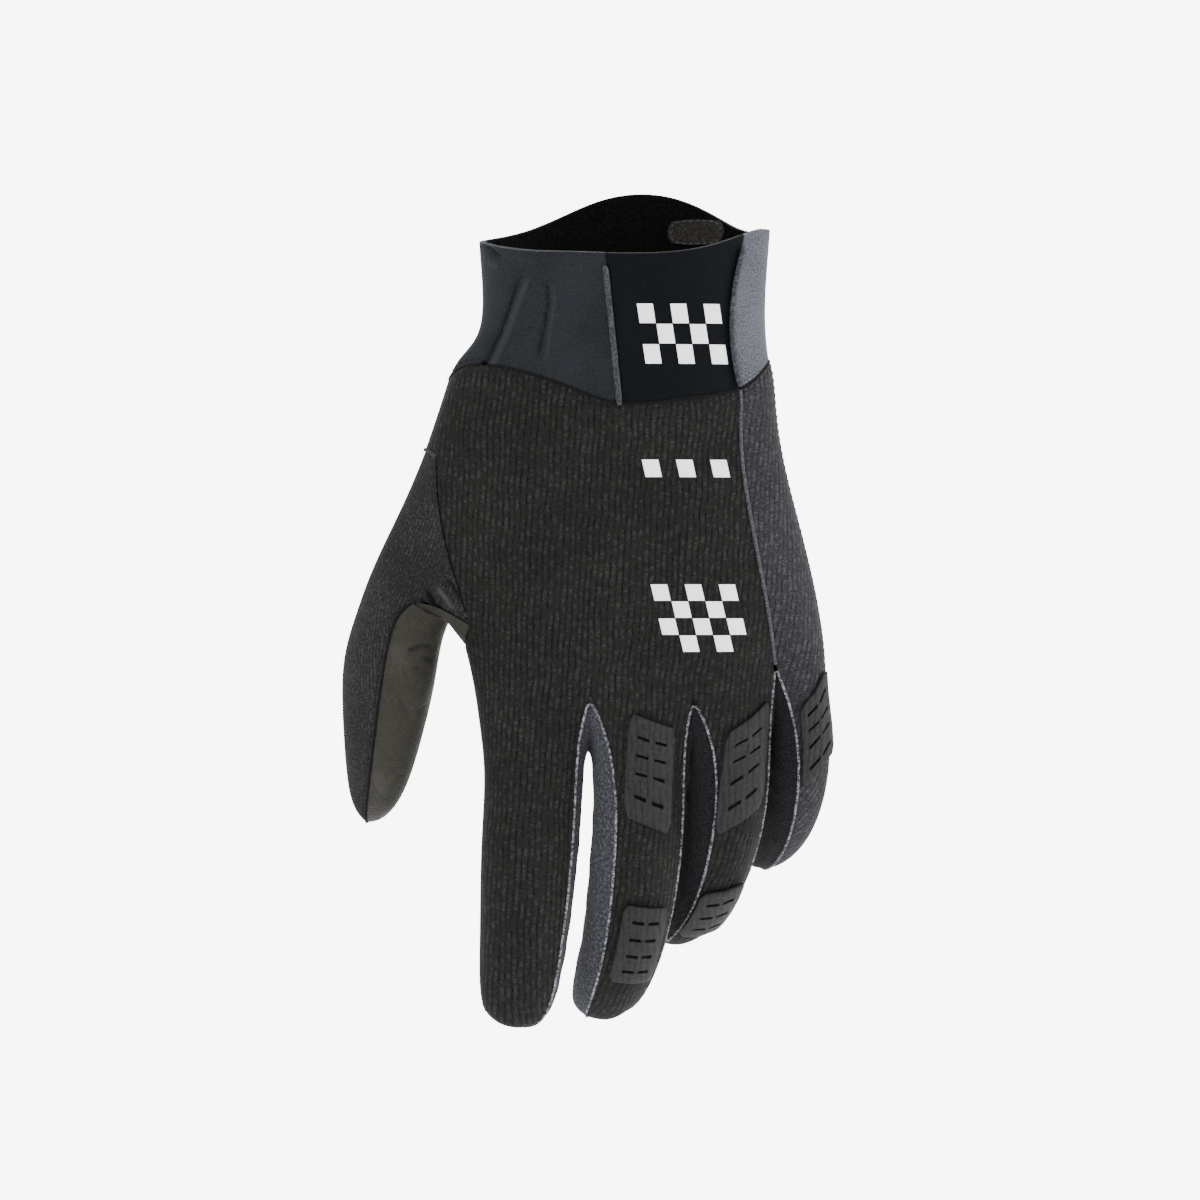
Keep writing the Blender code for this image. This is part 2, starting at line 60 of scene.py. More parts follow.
bpy.ops.object.select_all(action="DESELECT")
bpy.ops.mesh.primitive_grid_add(x_subdivisions=2, y_subdivisions=48, size=1)
sweep = bpy.context.active_object
sweep.name = "paper_sweep"
for vertex in sweep.data.vertices:
    run = (vertex.co.y + 0.5) * 8.0 - 3.5
    bend = min(max(run - FLOOR_END, 0) / CURVE_RADIUS, math.pi / 2)
    straight = max(run - FLOOR_END - CURVE_RADIUS * math.pi / 2, 0)
    vertex.co = (
        vertex.co.x * 9,
        min(run, FLOOR_END) + CURVE_RADIUS * math.sin(bend),
        FLOOR_HEIGHT + CURVE_RADIUS * (1 - math.cos(bend)) + straight,
    )
bpy.ops.object.shade_smooth()
paper = bpy.data.materials.new("white_paper")
paper.use_nodes = True
paper_shader = paper.node_tree.nodes["Principled BSDF"]
paper_shader.inputs["Base Color"].default_value = (0.94, 0.94, 0.94, 1)
paper_shader.inputs["Roughness"].default_value = 0.9
paper_shader.inputs["Specular IOR Level"].default_value = 0.1
paper_shader.inputs["Emission Color"].default_value = (1, 1, 1, 1)
paper_seen = paper.node_tree.nodes.new("ShaderNodeLightPath")
paper_glow = paper.node_tree.nodes.new("ShaderNodeMath")
paper_glow.operation = "MULTIPLY_ADD"
paper_glow.inputs[1].default_value = 5.0
paper_glow.inputs[2].default_value = 0.15
paper.node_tree.links.new(paper_seen.outputs["Is Camera Ray"], paper_glow.inputs[0])
paper.node_tree.links.new(paper_glow.outputs[0], paper_shader.inputs["Emission Strength"])
sweep.data.materials.append(paper)

camera_data = bpy.data.cameras.new("camera")
camera_data.sensor_width = 36
camera_data.lens = 36 * CAMERA_DISTANCE / PICTURE_WIDTH
camera_data.clip_end = 50
camera = bpy.data.objects.new("camera", camera_data)
bpy.context.scene.collection.objects.link(camera)
camera.location = PICTURE_CENTRE - VIEW * CAMERA_DISTANCE
camera.rotation_euler = (math.pi / 2 - CAMERA_TILT, 0, 0)
bpy.context.scene.camera = camera


def soft_box(name, place, size, watts, target=(0, 0, -0.1)):
    """A square studio lamp that faces the glove."""
    data = bpy.data.lights.new(name, "AREA")
    data.shape = "SQUARE"
    data.size = size
    data.energy = watts
    lamp = bpy.data.objects.new(name, data)
    lamp.location = place
    lamp.rotation_euler = (Vector(target) - Vector(place)).to_track_quat("-Z", "Y").to_euler()
    bpy.context.scene.collection.objects.link(lamp)


soft_box("key_light", (-0.8, -1.5, 1.2), 0.9, 34)
soft_box("side_light", (1.5, -0.15, 0.5), 0.7, 30)
soft_box("fill_light", (-1.3, -0.9, -0.1), 1.2, 7)
soft_box("paper_light", (0, 0.6, 1.7), 1.6, 60, (0, 1.9, 0))
world = bpy.data.worlds.new("studio")
world.use_nodes = True
world.node_tree.nodes["Background"].inputs["Color"].default_value = (1, 1, 1, 1)
world.node_tree.nodes["Background"].inputs["Strength"].default_value = 0.8
bpy.context.scene.world = world


# Back-of-hand knit
# One piece of thin polyester knit is cut for the back of the hand and of the four fingers. Its
# face has fine broken ribs; it is sewn all round to the other panels, seam allowance inside.
FACE, LINING, EDGE = 0, 1, 2
PANELS = (
    "backhand", "outer_side", "thumb_back", "thumb_front", "palm", "fork_index_middle",
    "fork_middle_ring", "fork_ring_little", "cuff_thumb_side", "cuff_back", "cuff_outer_side",
    "cuff_front",
)
panels = {}
rims = {}


def srgb(red, green, blue):
    """A colour as the picture shows it, for a shader socket."""
    def linear(value):
        value /= 255
        return value / 12.92 if value <= 0.04045 else ((value + 0.055) / 1.055) ** 2.4
    return linear(red), linear(green), linear(blue), 1.0


def activate(piece):
    """Selects one piece alone, ready for an operator."""
    bpy.ops.object.select_all(action="DESELECT")
    piece.select_set(True)
    bpy.context.view_layer.objects.active = piece


def modify(piece, name, kind, **settings):
    """Adds one modifier to the active piece and applies it."""
    modifier = piece.modifiers.new(name, kind)
    for setting, value in settings.items():
        setattr(modifier, setting, value)
    bpy.ops.object.modifier_apply(modifier=name)


def round_edges(piece, width, angle):
    """Rounds every edge that is sharper than this angle in degrees."""
    modify(
        piece, "rounded", "BEVEL", width=width * MM, segments=2, limit_method="ANGLE",
        angle_limit=math.radians(angle),
    )


def merged_copy(node, suffix, quads=True):
    """A copy of one CAD solid with its corners joined, as the active piece."""
    piece = bpy.data.objects.new(f"{node}_{suffix}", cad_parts[node].data.copy())
    bpy.context.scene.collection.objects.link(piece)
    piece.data.materials.clear()
    activate(piece)
    bpy.ops.mesh.customdata_custom_splitnormals_clear()
    bpy.ops.object.mode_set(mode="EDIT")
    bpy.ops.mesh.select_all(action="SELECT")
    bpy.ops.mesh.remove_doubles(threshold=0.001 * MM)
    if quads:
        bpy.ops.mesh.tris_convert_to_quads(face_threshold=math.radians(40), shape_threshold=math.pi)
    bpy.ops.object.mode_set(mode="OBJECT")
    return piece


def search_tree(meshes):
    """Several meshes as one search tree."""
    points, faces = [], []
    for mesh in meshes:
        start = len(points)
        points += [vertex.co.copy() for vertex in mesh.vertices]
        faces += [[start + corner for corner in face.vertices] for face in mesh.polygons]
    return BVHTree.FromPolygons(points, faces)


def point_tree(points):
    """A search tree of points, numbered in their order."""
    tree = KDTree(len(points))
    for index, point in enumerate(points):
        tree.insert(point, index)
    tree.balance()
    return tree


shell = search_tree(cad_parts[name].data for name in PANELS)


def looks_inward(face):
    """Whether a ray off this face first has to pass an odd number of walls, so starts inside."""
    place = face.calc_center_median()
    hits = 0
    start = place + face.normal * 0.1 * MM
    for _ in range(24):
        found = shell.ray_cast(start, face.normal, 0.4)
        if found[0] is None:
            break
        hits += 1
        start = found[0] + face.normal * 0.01 * MM
    return round(hits / 2) % 2 == 1


def sort_faces(bm):
    """Marks a panel's outer face, its lining side and its cut edge by material number."""
    thickest = 3.2 * MM
    corner = math.radians(50)
    nearly_flat = math.radians(36)
    bm.normal_update()
    walls = BVHTree.FromBMesh(bm)
    skin = set()
    for face in bm.faces:
        face.material_index = EDGE
        start = face.calc_center_median() - face.normal * 0.02 * MM
        _, normal, _, depth = walls.ray_cast(start, -face.normal, 6 * MM)
        if normal is not None and depth < thickest and normal.dot(face.normal) < -0.6:
            skin.add(face)
    while skin:
        region, queue = [], [skin.pop()]
        while queue:
            face = queue.pop()
            region.append(face)
            for edge in face.edges:
                for other in edge.link_faces:
                    if other in skin and edge.calc_face_angle(0) < corner:
                        skin.remove(other)
                        queue.append(other)
        if len(region) > 5:
            inward = sum(map(looks_inward, region)) / len(region)
            for face in region:
                face.material_index = LINING if inward > 0.5 else FACE
    grown = True
    while grown:
        grown = False
        for face in bm.faces:
            if face.material_index != EDGE:
                continue
            kinds = {
                other.material_index for edge in face.edges for other in edge.link_faces
                if other.material_index != EDGE and edge.calc_face_angle(0) < nearly_flat
            }
            if len(kinds) == 1:
                face.material_index = kinds.pop()
                grown = True
    crease = bm.edges.layers.float.get("crease_edge") or bm.edges.layers.float.new("crease_edge")
    for edge in bm.edges:
        kinds = {face.material_index for face in edge.link_faces}
        if len(kinds) > 1 or (EDGE in kinds and edge.calc_face_angle(0) > corner):
            edge[crease] = 1.0


def lay_flat(panel):
    """Unrolls the outer face into the flat shape it was cut from, in metres, grain up the hand."""
    mesh = panel.data
    for vertex in mesh.vertices:
        vertex.select = False
    for edge in mesh.edges:
        edge.select = False
    for face in mesh.polygons:
        face.select = face.material_index == FACE
    bpy.context.tool_settings.mesh_select_mode = (False, False, True)
    activate(panel)
    bpy.ops.object.mode_set(mode="EDIT")
    bpy.ops.uv.unwrap(method="ANGLE_BASED", margin=0)
    bpy.ops.object.mode_set(mode="OBJECT")
    flat = mesh.uv_layers.active
    flat.name = "flat"
    spots, area, flat_area = {}, 0, 0
    for face in mesh.polygons:
        if face.material_index != FACE:
            continue
        corners = [Vector(flat.data[loop].uv) for loop in face.loop_indices]
        area += face.area
        flat_area += abs(sum(a.x * b.y - a.y * b.x for a, b in zip(
            corners, corners[1:] + corners[:1],
        ))) / 2
        for vertex, corner in zip(face.vertices, corners):
            spots[vertex] = corner
    rows = np.array([[spot.x, spot.y, 1.0] for spot in spots.values()])
    height = np.array([mesh.vertices[vertex].co.z for vertex in spots])
    slope = np.linalg.lstsq(rows, height, rcond=None)[0][:2]
    up = Vector(slope).normalized()
    across = Vector((up.y, -up.x))
    size = math.sqrt(area / flat_area)
    tree = KDTree(len(spots))
    placed = {}
    for vertex, spot in spots.items():
        placed[vertex] = Vector((spot.dot(across), spot.dot(up))) * size
        tree.insert(mesh.vertices[vertex].co, vertex)
    tree.balance()
    for face in mesh.polygons:
        for vertex, loop in zip(face.vertices, face.loop_indices):
            if face.material_index != FACE:
                vertex = tree.find(mesh.vertices[vertex].co)[1]
            flat.data[loop].uv = placed[vertex]


def rim_of(mesh):
    """The edge where a panel's outer face meets its cut edge, as points with outward normals."""
    bm = bmesh.new()
    bm.from_mesh(mesh)
    bm.normal_update()
    points = {}
    links = {}
    for edge in bm.edges:
        kinds = [face.material_index for face in edge.link_faces]
        if len(kinds) == 2 and FACE in kinds and EDGE in kinds:
            for here, there in (edge.verts, reversed(edge.verts)):
                outward = sum(
                    (face.normal for face in here.link_faces if face.material_index == FACE), Vector(),
                )
                points[here.index] = (here.co.copy(), outward.normalized())
                links.setdefault(here.index, []).append(there.index)
    bm.free()
    return points, links


def make_panel(node, finish, levels, bevel=0.28, shape=None):
    """A CAD panel as its real sheet: a smooth skin with rounded cut edges and a flat pattern."""
    panel = merged_copy(node, "panel")
    bm = bmesh.new()
    bm.from_mesh(panel.data)
    sort_faces(bm)
    bm.to_mesh(panel.data)
    bm.free()
    lay_flat(panel)
    modify(panel, "skin", "SUBSURF", levels=levels, render_levels=levels)
    if shape:
        shape(panel)
    rims[node] = rim_of(panel.data)
    round_edges(panel, bevel, 40)
    for face in panel.data.polygons:
        if face.material_index == EDGE:
            face.material_index = FACE
    bpy.ops.object.shade_smooth_by_angle(angle=math.radians(50))
    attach(panel, "root")
    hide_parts(node)
    panels[node] = panel
    panel.data.materials.append(finish)
    panel.data.materials.append(lining_finish)


def put(tree, kind, wires=(), **fields):
    """One shader node, its inputs given as values or as other nodes' outputs."""
    node = tree.nodes.new(kind)
    for field, value in fields.items():
        setattr(node, field, value)
    for socket, value in dict(wires).items():
        if isinstance(value, bpy.types.NodeSocket):
            tree.links.new(value, node.inputs[socket])
        else:
            node.inputs[socket].default_value = value
    return node


def calc(tree, operation, first, second=0.0, third=0.0):
    """The result of one sum on numbers."""
    return put(
        tree, "ShaderNodeMath", {0: first, 1: second, 2: third}, operation=operation,
    ).outputs[0]


def times(tree, first, second):
    """The product of two numbers."""
    return calc(tree, "MULTIPLY", first, second)


def shaded(colour, share):
    """A darker shade of a colour."""
    return tuple(share * part for part in colour[:3]) + (1,)


def blend(tree, factor, first, second):
    """A mix of two colours."""
    return put(tree, "ShaderNodeMix", {0: factor, 6: first, 7: second}, data_type="RGBA").outputs[2]


def clouds(tree, wires, **fields):
    """The grey value of a noise texture."""
    return put(tree, "ShaderNodeTexNoise", wires, **fields).outputs[0]


def fade(tree, value, low, high, start=0.0, end=1.0):
    """A smooth step of a number between two levels."""
    return put(
        tree, "ShaderNodeMapRange", {0: value, 1: low, 2: high, 3: start, 4: end},
        interpolation_type="SMOOTHSTEP",
    ).outputs[0]


def new_effect(name, inputs, outputs):
    """A shared shader group with named inputs and outputs."""
    tree = bpy.data.node_groups.new(name, "ShaderNodeTree")
    for label, default in inputs.items():
        vector = default is None
        kind = "NodeSocketVector" if vector else "NodeSocketFloat"
        socket = tree.interface.new_socket(label, in_out="INPUT", socket_type=kind)
        if not vector:
            socket.default_value = default
    for label in outputs:
        tree.interface.new_socket(label, in_out="OUTPUT", socket_type="NodeSocketFloat")
    return tree, tree.nodes.new("NodeGroupInput"), tree.nodes.new("NodeGroupOutput")


def use_effect(tree, effect, wires):
    """Places a shared shader group with this material's own values."""
    return put(tree, "ShaderNodeGroup", wires, node_tree=effect)


def broken_rib_effect():
    """Ribs that run up the cloth, each broken into dashes of lighter yarn."""
    tree, given, result = new_effect(
        "broken_rib", {"Vector": None, "Pitch": 1.9 * MM, "Dash": 3.2 * MM, "Wander": 0.35},
        ("Height", "Rib", "Fleck"),
    )
    spot = given.outputs["Vector"]
    axes = put(tree, "ShaderNodeSeparateXYZ", {0: spot}).outputs
    drift = clouds(tree, {"Vector": spot, "Scale": 90.0, "Detail": 1.0})
    drift = times(tree, calc(tree, "SUBTRACT", drift, 0.5), given.outputs["Wander"])
    across = calc(
        tree, "ADD", calc(tree, "DIVIDE", axes[0], given.outputs["Pitch"]), times(tree, drift, 4.0),
    )
    column = calc(tree, "FLOOR", across)
    within = calc(tree, "FRACT", across)
    rib = calc(tree, "SINE", times(tree, within, math.pi))
    chance = put(tree, "ShaderNodeTexWhiteNoise", {"W": column}, noise_dimensions="1D").outputs[0]
    along = calc(
        tree, "ADD", calc(tree, "DIVIDE", axes[1], given.outputs["Dash"]),
        times(tree, chance, 17.0),
    )
    place = put(tree, "ShaderNodeCombineXYZ", {0: times(tree, column, 5.3), 1: along}).outputs[0]
    dash = clouds(
        tree, {"Vector": place, "Scale": 1.0, "Detail": 2.0, "Roughness": 0.7},
        noise_dimensions="2D",
    )
    dash = fade(tree, dash, 0.44, 0.62)
    grain = clouds(tree, {"Vector": spot, "Scale": 1500.0, "Detail": 2.0})
    fleck = times(tree, calc(tree, "POWER", rib, 2.0), dash)
    gap = calc(tree, "FLOOR", calc(tree, "ADD", across, 0.5))
    place = put(
        tree, "ShaderNodeCombineXYZ", {0: times(tree, gap, 7.7), 1: times(tree, along, 0.8)},
    ).outputs[0]
    cut = clouds(
        tree, {"Vector": place, "Scale": 1.0, "Detail": 2.0, "Roughness": 0.75},
        noise_dimensions="2D",
    )
    cut = fade(tree, cut, 0.36, 0.6, 0.12, 1.0)
    furrow = times(tree, calc(tree, "POWER", calc(tree, "SUBTRACT", 1.0, rib), 1.6), cut)
    rib = calc(tree, "SUBTRACT", 1.0, furrow)
    height = calc(tree, "ADD", times(tree, rib, 0.55), times(tree, fleck, 0.35))
    height = calc(tree, "ADD", height, times(tree, grain, 0.3))
    tree.links.new(height, result.inputs["Height"])
    tree.links.new(rib, result.inputs["Rib"])
    tree.links.new(times(tree, fleck, fade(tree, grain, 0.35, 0.65)), result.inputs["Fleck"])
    return tree


broken_rib = broken_rib_effect()


def heather_effect():
    """Mixed light and dark yarn ends, with slow patches of tone and a fine woven relief."""
    tree, given, result = new_effect(
        "heather", {"Vector": None, "Yarn": 0.6 * MM, "Patch": 14 * MM}, (
            "Height", "Fleck", "Patch",
        ),
    )
    spot = given.outputs["Vector"]
    yarn = calc(tree, "DIVIDE", 1.0, given.outputs["Yarn"])
    fleck = clouds(tree, {"Vector": spot, "Scale": yarn, "Detail": 3.0, "Roughness": 0.65})
    cells = put(tree, "ShaderNodeTexVoronoi", {"Vector": spot, "Scale": yarn}).outputs["Distance"]
    patch = calc(tree, "DIVIDE", 1.0, given.outputs["Patch"])
    tone = clouds(tree, {"Vector": spot, "Scale": patch, "Detail": 2.0})
    tree.links.new(calc(tree, "SUBTRACT", fleck, times(tree, cells, 0.5)), result.inputs["Height"])
    tree.links.new(fade(tree, fleck, 0.4, 0.68), result.inputs["Fleck"])
    tree.links.new(fade(tree, tone, 0.35, 0.65), result.inputs["Patch"])
    return tree


heather = heather_effect()


def yarn_mix(tree, spot, yarn, patch):
    """The heather effect with its yarn and its patches sized in millimetres."""
    return use_effect(tree, heather, {"Vector": spot, "Yarn": yarn * MM, "Patch": patch * MM})


def new_finish(name, roughness, sheen=0.0, specular=0.4):
    """A material with its shader's plain values set."""
    finish = bpy.data.materials.new(name)
    finish.use_nodes = True
    tree = finish.node_tree
    shader = tree.nodes["Principled BSDF"]
    shader.inputs["Roughness"].default_value = roughness
    shader.inputs["Specular IOR Level"].default_value = specular
    shader.inputs["Sheen Weight"].default_value = sheen
    shader.inputs["Sheen Roughness"].default_value = 0.4
    return finish, tree, shader


def folded(tree, colour, shade, pale_tone):
    """Paints shade into a pressed fold and a highlight on a raised one, by the panel's fold attribute.
    """
    depth = put(tree, "ShaderNodeAttribute", attribute_name="fold").outputs["Fac"]
    colour = blend(tree, fade(tree, depth, 0.0, 0.5, 0.0, 0.95), colour, shade)
    return blend(tree, fade(tree, times(tree, depth, -1.0), 0.0, 0.3, 0.0, 0.8), colour, pale_tone)


def flat_spot(tree):
    return put(tree, "ShaderNodeUVMap", uv_map="flat").outputs[0]


def object_spot(tree):
    return put(tree, "ShaderNodeTexCoord").outputs["Object"]


def relief(tree, shader, height, depth, strength=1.0):
    """Feeds a height to the shader as a bump of this depth in metres."""
    bump = put(tree, "ShaderNodeBump", {"Height": height, "Distance": depth, "Strength": strength})
    tree.links.new(bump.outputs[0], shader.inputs["Normal"])


def plain_finish(name, dark, light, roughness, grain=0.5, depth=0.08, specular=0.15):
    finish, tree, shader = new_finish(name, roughness, specular=specular)
    mix = yarn_mix(tree, object_spot(tree), grain, 8)
    tree.links.new(blend(tree, mix.outputs["Fleck"], dark, light), shader.inputs["Base Color"])
    relief(tree, shader, mix.outputs["Height"], depth * MM)
    return finish


def rib_knit(name, furrow, ground, fleck, pitch=1.9, depth=0.22, heathered=0.25):
    finish, tree, shader = new_finish(name, 0.86, sheen=0.02, specular=0.06)
    spot = flat_spot(tree)
    rib = use_effect(
        tree, broken_rib, {"Vector": spot, "Pitch": pitch * MM, "Dash": 2.6 * MM, "Wander": 0.3},
    )
    mix = yarn_mix(tree, spot, 0.7, 22)
    colour = blend(tree, fade(tree, rib.outputs["Rib"], 0.1, 0.9), furrow, ground)
    colour = blend(tree, rib.outputs["Fleck"], colour, fleck)
    colour = blend(tree, times(tree, mix.outputs["Fleck"], heathered), colour, fleck)
    colour = blend(tree, times(tree, mix.outputs["Patch"], 0.18), colour, furrow)
    tree.links.new(colour, shader.inputs["Base Color"])
    tree.links.new(
        calc(tree, "SUBTRACT", 0.9, times(tree, rib.outputs["Rib"], 0.14)),
        shader.inputs["Roughness"],
    )
    relief(tree, shader, rib.outputs["Height"], depth * MM)
    return finish


lining_finish = plain_finish(
    "brushed_lining", srgb(7, 7, 6), srgb(16, 15, 14), 0.95, grain=0.9, depth=0.25, specular=0.05,
)
back_knit = rib_knit(
    "back_knit", srgb(6, 6, 6), srgb(24, 24, 23), srgb(47, 46, 45), pitch=1.75, depth=0.16,
)
make_panel("backhand", back_knit, 2)

# Outer side panel
# The side of the little finger and hand is a strip of the same knit in a lighter heather yarn,
# sewn to the back panel with a raised seam and stretched smooth over the edge of the hand.
side_knit = rib_knit(
    "side_knit", srgb(12, 12, 13), srgb(34, 34, 36), srgb(66, 66, 70), pitch=1.9, depth=0.16,
    heathered=0.45,
)
make_panel("outer_side", side_knit, 2)

# Thumb
# The back of the thumb is a fine plain knit without ribs, gathered at the crotch. The front is
# thin synthetic leather, olive grey, sewn to it with the leather's edge turned in.


def plain_knit(name, ground, fleck, yarn=0.75):
    finish, tree, shader = new_finish(name, 0.86, sheen=0.02, specular=0.06)
    spot = flat_spot(tree)
    mix = yarn_mix(tree, spot, yarn, 16)
    loops = use_effect(
        tree, broken_rib, {"Vector": spot, "Pitch": 1.15 * MM, "Dash": 1.9 * MM, "Wander": 0.5},
    )
    colour = blend(tree, times(tree, mix.outputs["Fleck"], 0.45), ground, fleck)
    colour = blend(tree, times(tree, loops.outputs["Fleck"], 0.8), colour, fleck)
    dark = shaded(ground, 0.35)
    colour = blend(tree, fade(tree, loops.outputs["Rib"], 0.1, 0.8, 0.6, 0.0), colour, dark)
    colour = blend(tree, times(tree, mix.outputs["Patch"], 0.3), colour, shaded(ground, 0.6))
    # Painted shade in pressed folds, and the fleck colour as a painted highlight on raised ones.
    colour = folded(tree, colour, srgb(9, 9, 10), fleck)
    tree.links.new(colour, shader.inputs["Base Color"])
    relief(tree, shader, mix.outputs["Height"], 0.2 * MM)
    return finish


def leather_effect():
    """Pressed grain of small soft cells, with fine flex creases and rubbed patches."""
    tree, given, result = new_effect(
        "leather_grain", {"Vector": None, "Cell": 0.7 * MM, "Crease": 5 * MM}, (
            "Height", "Crease", "Rubbed",
        ),
    )
    spot = given.outputs["Vector"]
    cells = put(
        tree, "ShaderNodeTexVoronoi", {
            "Vector": spot, "Scale": calc(tree, "DIVIDE", 1.0, given.outputs["Cell"]),
        },
        feature="SMOOTH_F1",
    ).outputs["Distance"]
    size = calc(tree, "DIVIDE", 1.0, given.outputs["Crease"])
    flex = clouds(tree, {"Vector": spot, "Scale": size, "Detail": 4.0, "Distortion": 0.8})
    crease = fade(
        tree, calc(tree, "ABSOLUTE", calc(tree, "SUBTRACT", flex, 0.5)), 0.0, 0.035, 1.0, 0.0,
    )
    pale_tone = clouds(tree, {"Vector": spot, "Scale": times(tree, size, 0.5), "Detail": 3.0})
    height = calc(tree, "SUBTRACT", times(tree, cells, -0.5), times(tree, crease, 0.8))
    tree.links.new(height, result.inputs["Height"])
    tree.links.new(crease, result.inputs["Crease"])
    tree.links.new(fade(tree, pale_tone, 0.42, 0.66), result.inputs["Rubbed"])
    return tree


leather_grain = leather_effect()


def soft_leather(name, ground, pale_tone, roughness=0.62, mottled=0.55, holes=0.0):
    finish, tree, shader = new_finish(name, roughness, specular=0.22)
    spot = flat_spot(tree)
    grain = use_effect(tree, leather_grain, {"Vector": spot, "Cell": 0.75 * MM, "Crease": 9 * MM})
    mix = yarn_mix(tree, spot, 0.8, 10)
    colour = blend(tree, times(tree, grain.outputs["Rubbed"], mottled), ground, pale_tone)
    colour = blend(tree, times(tree, grain.outputs["Crease"], 0.25), colour, shaded(ground, 0.5))
    colour = blend(tree, times(tree, mix.outputs["Fleck"], 0.25), colour, pale_tone)
    # The leather's rubbed colour doubles as the painted highlight on a raised fold; the near black is
    # painted shade in a pressed fold.
    colour = folded(tree, colour, srgb(12, 11, 9), pale_tone)
    tree.links.new(colour, shader.inputs["Base Color"])
    tree.links.new(
        fade(tree, grain.outputs["Rubbed"], 0, 1, roughness + 0.05, roughness - 0.05),
        shader.inputs["Roughness"],
    )
    height = grain.outputs["Height"]
    if holes:
        punched = put(
            tree, "ShaderNodeTexVoronoi",
            {"Vector": spot, "Scale": 1 / (holes * MM), "Randomness": 0.0},
        ).outputs["Distance"]
        punched = fade(tree, punched, 0.1, 0.15, 1.0, 0.0)
        colour = blend(tree, punched, colour, srgb(4, 4, 4))
        tree.links.new(colour, shader.inputs["Base Color"])
        height = calc(tree, "SUBTRACT", height, times(tree, punched, 3.0))
    relief(tree, shader, height, 0.16 * MM)
    return finish


def in_picture(px, py):
    """The point in the picture's plane at this place in pixels."""
    aside = Vector(((px - PICTURE_MIDDLE) * PIXEL * MM, 0, 0))
    return PICTURE_CENTRE + aside + VIEW_UP * ((PICTURE_MIDDLE - py) * PIXEL * MM)


def seen(px, py):
    """The point on the front of the glove that the picture shows at this place, and its normal."""
    start = in_picture(px, py)
    spot, normal, _, _ = shell.ray_cast(start - VIEW * 0.5, VIEW, 1.0)
    return spot, normal


def trace(places, step=0.8):
    """A drawn line of picture places, laid on the glove as closely spaced points."""
    line = []
    for (x0, y0), (x1, y1) in zip(places, places[1:]):
        count = max(2, int(math.hypot(x1 - x0, y1 - y0) * PIXEL / step))
        for index in range(count):
            share = index / count
            spot, normal = seen(x0 + (x1 - x0) * share, y0 + (y1 - y0) * share)
            if spot is not None:
                line.append((spot, normal))
    return line


def press(panel, places, depth, width):
    """Presses a fold line into a panel, both skins together, fading at its two ends."""
    line = trace(places)
    if not line:
        return
    tree = point_tree([spot for spot, _ in line])
    fold = panel.data.attributes.get("fold") or panel.data.attributes.new("fold", "FLOAT", "POINT")
    for vertex in panel.data.vertices:
        _, index, gap = tree.find(vertex.co)
        if gap > width * 2.5 * MM:
            continue
        ends = min(index, len(line) - 1 - index) / max(1, len(line) * 0.25)
        fall = math.exp(-((gap / (width * MM)) ** 2)) * (0.35 + 0.65 * min(1, ends))
        vertex.co -= line[index][1] * depth * MM * fall
        # The crease depth goes to the fold attribute, where the finishes paint shade in a pressed fold
        # and a highlight on a raised one.
        crease = depth * math.exp(-((gap / (width * 0.55 * MM)) ** 2))
        fold.data[vertex.index].value += crease * min(1, ends * 1.5)


def thumb_folds(panel):
    press(panel, ((424, 588), (440, 612), (458, 624)), 0.9, 1.3)
    press(panel, ((411, 601), (421, 625)), 0.7, 1.0)
    press(panel, ((420, 596), (432, 622)), 0.7, 1.0)
    press(panel, ((436, 585), (456, 612)), -0.5, 1.1)
    press(panel, ((445, 576), (464, 604)), 0.5, 1.2)


thumb_knit = plain_knit("thumb_knit", srgb(28, 28, 28), srgb(58, 58, 58))
make_panel("thumb_back", thumb_knit, 3, shape=thumb_folds)


def leather_folds(panel):
    press(panel, ((405, 652), (424, 646), (436, 648)), 0.8, 1.2)
    press(panel, ((420, 658), (438, 661)), 0.6, 1.0)
    press(panel, ((412, 668), (430, 672)), 0.45, 1.1)
    press(panel, ((398, 700), (410, 722)), 0.35, 1.4)


olive_leather = soft_leather("olive_leather", srgb(30, 29, 23), srgb(45, 43, 36))
make_panel("thumb_front", olive_leather, 3, shape=leather_folds)

# Palm
# The palm and the fronts of the fingers are one piece of thin perforated synthetic leather,
# darker than the thumb, with its edges turned in at the side seams.
palm_leather = soft_leather(
    "palm_leather", srgb(20, 20, 21), srgb(29, 29, 30), roughness=0.66, mottled=0.12, holes=3.8,
)
make_panel("palm", palm_leather, 2)

# Strips between the fingers
# Three strips of thin microfleece join the backs and fronts of neighbouring fingers round the
# crotches. The cloth is grey blue and speckled. The strips between the middle, ring and little
# fingers take a darker copy of it, painted shade for the deep shadow in those two crotches.


def speckled_fleece(name, ground, fleck):
    finish, tree, shader = new_finish(name, 0.9, sheen=0.04, specular=0.1)
    spot = flat_spot(tree)
    mix = yarn_mix(tree, spot, 0.85, 9)
    fine = yarn_mix(tree, spot, 0.4, 30)
    colour = blend(tree, mix.outputs["Fleck"], ground, fleck)
    colour = blend(tree, times(tree, fine.outputs["Fleck"], 0.35), colour, shaded(ground, 0.4))
    tree.links.new(colour, shader.inputs["Base Color"])
    relief(
        tree, shader, calc(tree, "ADD", mix.outputs["Height"], fine.outputs["Height"]), 0.22 * MM,
    )
    return finish


